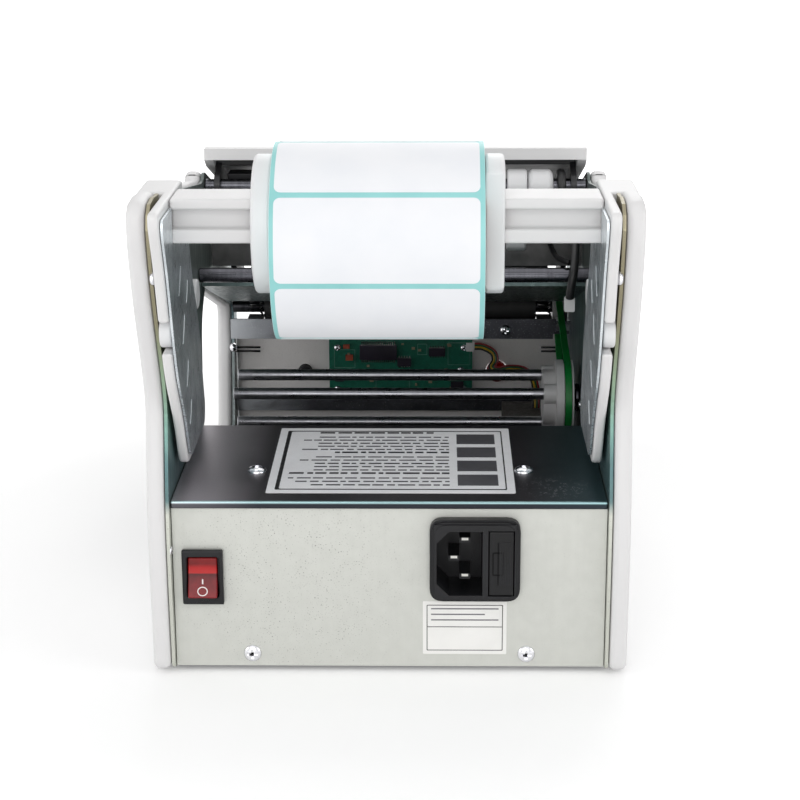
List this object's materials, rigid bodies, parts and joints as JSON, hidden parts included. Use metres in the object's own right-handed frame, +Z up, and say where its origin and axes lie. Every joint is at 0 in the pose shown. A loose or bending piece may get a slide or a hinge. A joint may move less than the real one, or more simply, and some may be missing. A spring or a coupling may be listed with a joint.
{
  "type": "label dispenser",
  "caption": "Desk label dispenser with a roll holder at the rear, a hood, a label bed, a driven roller and a liner rewinder.",
  "frame": {"origin": "on the floor under the middle of the machine", "axes": "+X to the right seen from the rear, +Y to the front where labels come out, +Z up"},
  "size_m": [0.174, 0.282, 0.1963],
  "materials": {
    "white_plastic": "moulded, satin",
    "grey_plastic": "moulded, satin",
    "zinc_sheet": "zinc plated, fine speckle",
    "dark_zinc": "zinc plated, dark reflections",
    "dark_paint": "dark satin paint",
    "grey_paint": "grey satin paint",
    "steel": "ground shaft, polished",
    "rubber": "smooth, matt",
    "black_plastic": "moulded, satin",
    "red_clear": "translucent red",
    "label_paper": "smooth labels on a pale blue liner",
    "card": "wound card tube",
    "belt_green": "smooth drive belt",
    "board_green": "circuit board",
    "spring_steel": "black spring wire",
    "cable_skin": "cable jacket",
    "iron": "laminated iron and steel cans"
  },
  "bodies": {
    "frame": {"side_cover_left": "white_plastic", "side_cover_right": "white_plastic", "shaft_collar": "white_plastic", "holder_arm_left": "white_plastic", "holder_arm_right": "white_plastic", "rear_peg_left": "white_plastic", "rear_peg_right": "white_plastic", "front_peg_left": "white_plastic", "front_peg_right": "white_plastic", "roll_bar": "white_plastic", "frame_plate_left": "zinc_sheet", "frame_plate_right": "zinc_sheet", "base_plate": "zinc_sheet", "box_rear_plate": "zinc_sheet", "label_bed": "zinc_sheet", "cross_strip_upper": "zinc_sheet", "cross_strip_lower": "zinc_sheet", "arm_liner_left": "zinc_sheet", "arm_liner_right": "zinc_sheet", "box_top_plate": "dark_zinc", "guide_plate": "dark_paint", "front_panel": "grey_paint", "guide_shaft_upper": "steel", "guide_shaft_lower": "steel", "rewind_axle": "steel", "foot_strip_rear": "rubber", "foot_strip_front": "rubber", "feed_belt": "rubber", "power_inlet": "black_plastic", "switch_bezel": "black_plastic", "label_sensor": "black_plastic", "rewind_belt": "belt_green", "control_board": "board_green", "bed_spring_left": "spring_steel", "bed_spring_right": "spring_steel", "ribbon_cable": "cable_skin", "sensor_cable": "cable_skin", "transformer": "iron", "feed_motor": "iron"},
    "rocker": {"switch_rocker": "red_clear"},
    "fuse_holder": {"fuse_drawer": "black_plastic"},
    "label_supply": {"roll_core": "card", "label_roll": "label_paper"},
    "supply_guide_left": {"roll_guide_left": "white_plastic"},
    "supply_guide_right": {"roll_guide_right": "white_plastic"},
    "web_guide_left": {"label_guide_left": "white_plastic"},
    "web_guide_right": {"label_guide_right": "white_plastic"},
    "drive": {"drive_shaft": "steel", "drive_roller": "rubber", "drive_pulley": "grey_plastic"},
    "rewinder": {"rewind_hub": "white_plastic", "rewind_rod_1": "steel", "rewind_rod_2": "steel", "rewind_rod_3": "steel"},
    "motor_drive": {"motor_pulley": "grey_plastic"},
    "cover_hood": {"hood": "white_plastic", "press_frame": "dark_paint"},
    "press": {"press_roller": "rubber"},
    "speed_control": {"speed_knob": "black_plastic"},
    "feed_control": {"feed_button": "red_clear"}
  },
  "joints": [
    {"name": "switch_rock", "type": "hinge", "parent": "frame", "child": "rocker", "pos_m": [-0.0679, -0.107, 0.0376], "axis": [1, 0, 0], "range_deg": [0, 16]},
    {"name": "fuse_slide", "type": "slide", "parent": "frame", "child": "fuse_holder", "axis": [0, -1, 0], "range_m": [0, 0.012]},
    {"name": "roll_spin", "type": "hinge", "parent": "frame", "child": "label_supply", "pos_m": [0, -0.105, 0.1621], "axis": [1, 0, 0], "continuous": true},
    {"name": "roll_guide_left_slide", "type": "slide", "parent": "frame", "child": "supply_guide_left", "axis": [1, 0, 0], "range_m": [-0.025, 0]},
    {"name": "roll_guide_right_slide", "type": "slide", "parent": "frame", "child": "supply_guide_right", "axis": [1, 0, 0], "range_m": [0, 0.031]},
    {"name": "label_guide_left_slide", "type": "slide", "parent": "frame", "child": "web_guide_left", "axis": [1, 0, 0], "range_m": [-0.003, 0.04]},
    {"name": "label_guide_right_slide", "type": "slide", "parent": "frame", "child": "web_guide_right", "axis": [1, 0, 0], "range_m": [-0.04, 0]},
    {"name": "rewind_spin", "type": "hinge", "parent": "frame", "child": "rewinder", "pos_m": [0.07, 0.0455, 0.061], "axis": [1, 0, 0], "continuous": true},
    {"name": "drive_spin", "type": "hinge", "parent": "frame", "child": "drive", "pos_m": [0, 0.122, 0.0829], "axis": [1, 0, 0], "continuous": true},
    {"name": "motor_spin", "type": "hinge", "parent": "frame", "child": "motor_drive", "pos_m": [0.077, 0.111, 0.0195], "axis": [1, 0, 0], "continuous": true},
    {"name": "hood_lift", "type": "hinge", "parent": "frame", "child": "cover_hood", "pos_m": [0, 0.031, 0.1564], "axis": [1, 0, 0], "range_deg": [0, 75]},
    {"name": "press_spin", "type": "hinge", "parent": "cover_hood", "child": "press", "pos_m": [0, 0.107, 0.1005], "axis": [1, 0, 0], "continuous": true},
    {"name": "speed_turn", "type": "hinge", "parent": "frame", "child": "speed_control", "pos_m": [-0.046, 0.138, 0.048], "axis": [0, 1, 0], "range_deg": [0, 270]},
    {"name": "feed_press", "type": "slide", "parent": "frame", "child": "feed_control", "axis": [0, -1, 0], "range_m": [0, 0.002], "stiffness_N_per_m": 400}
  ],
  "couplings": [
    {"joint": "drive_spin", "follows": "rewind_spin", "ratio": 2.0411},
    {"joint": "motor_spin", "follows": "rewind_spin", "ratio": 2.4262}
  ]
}
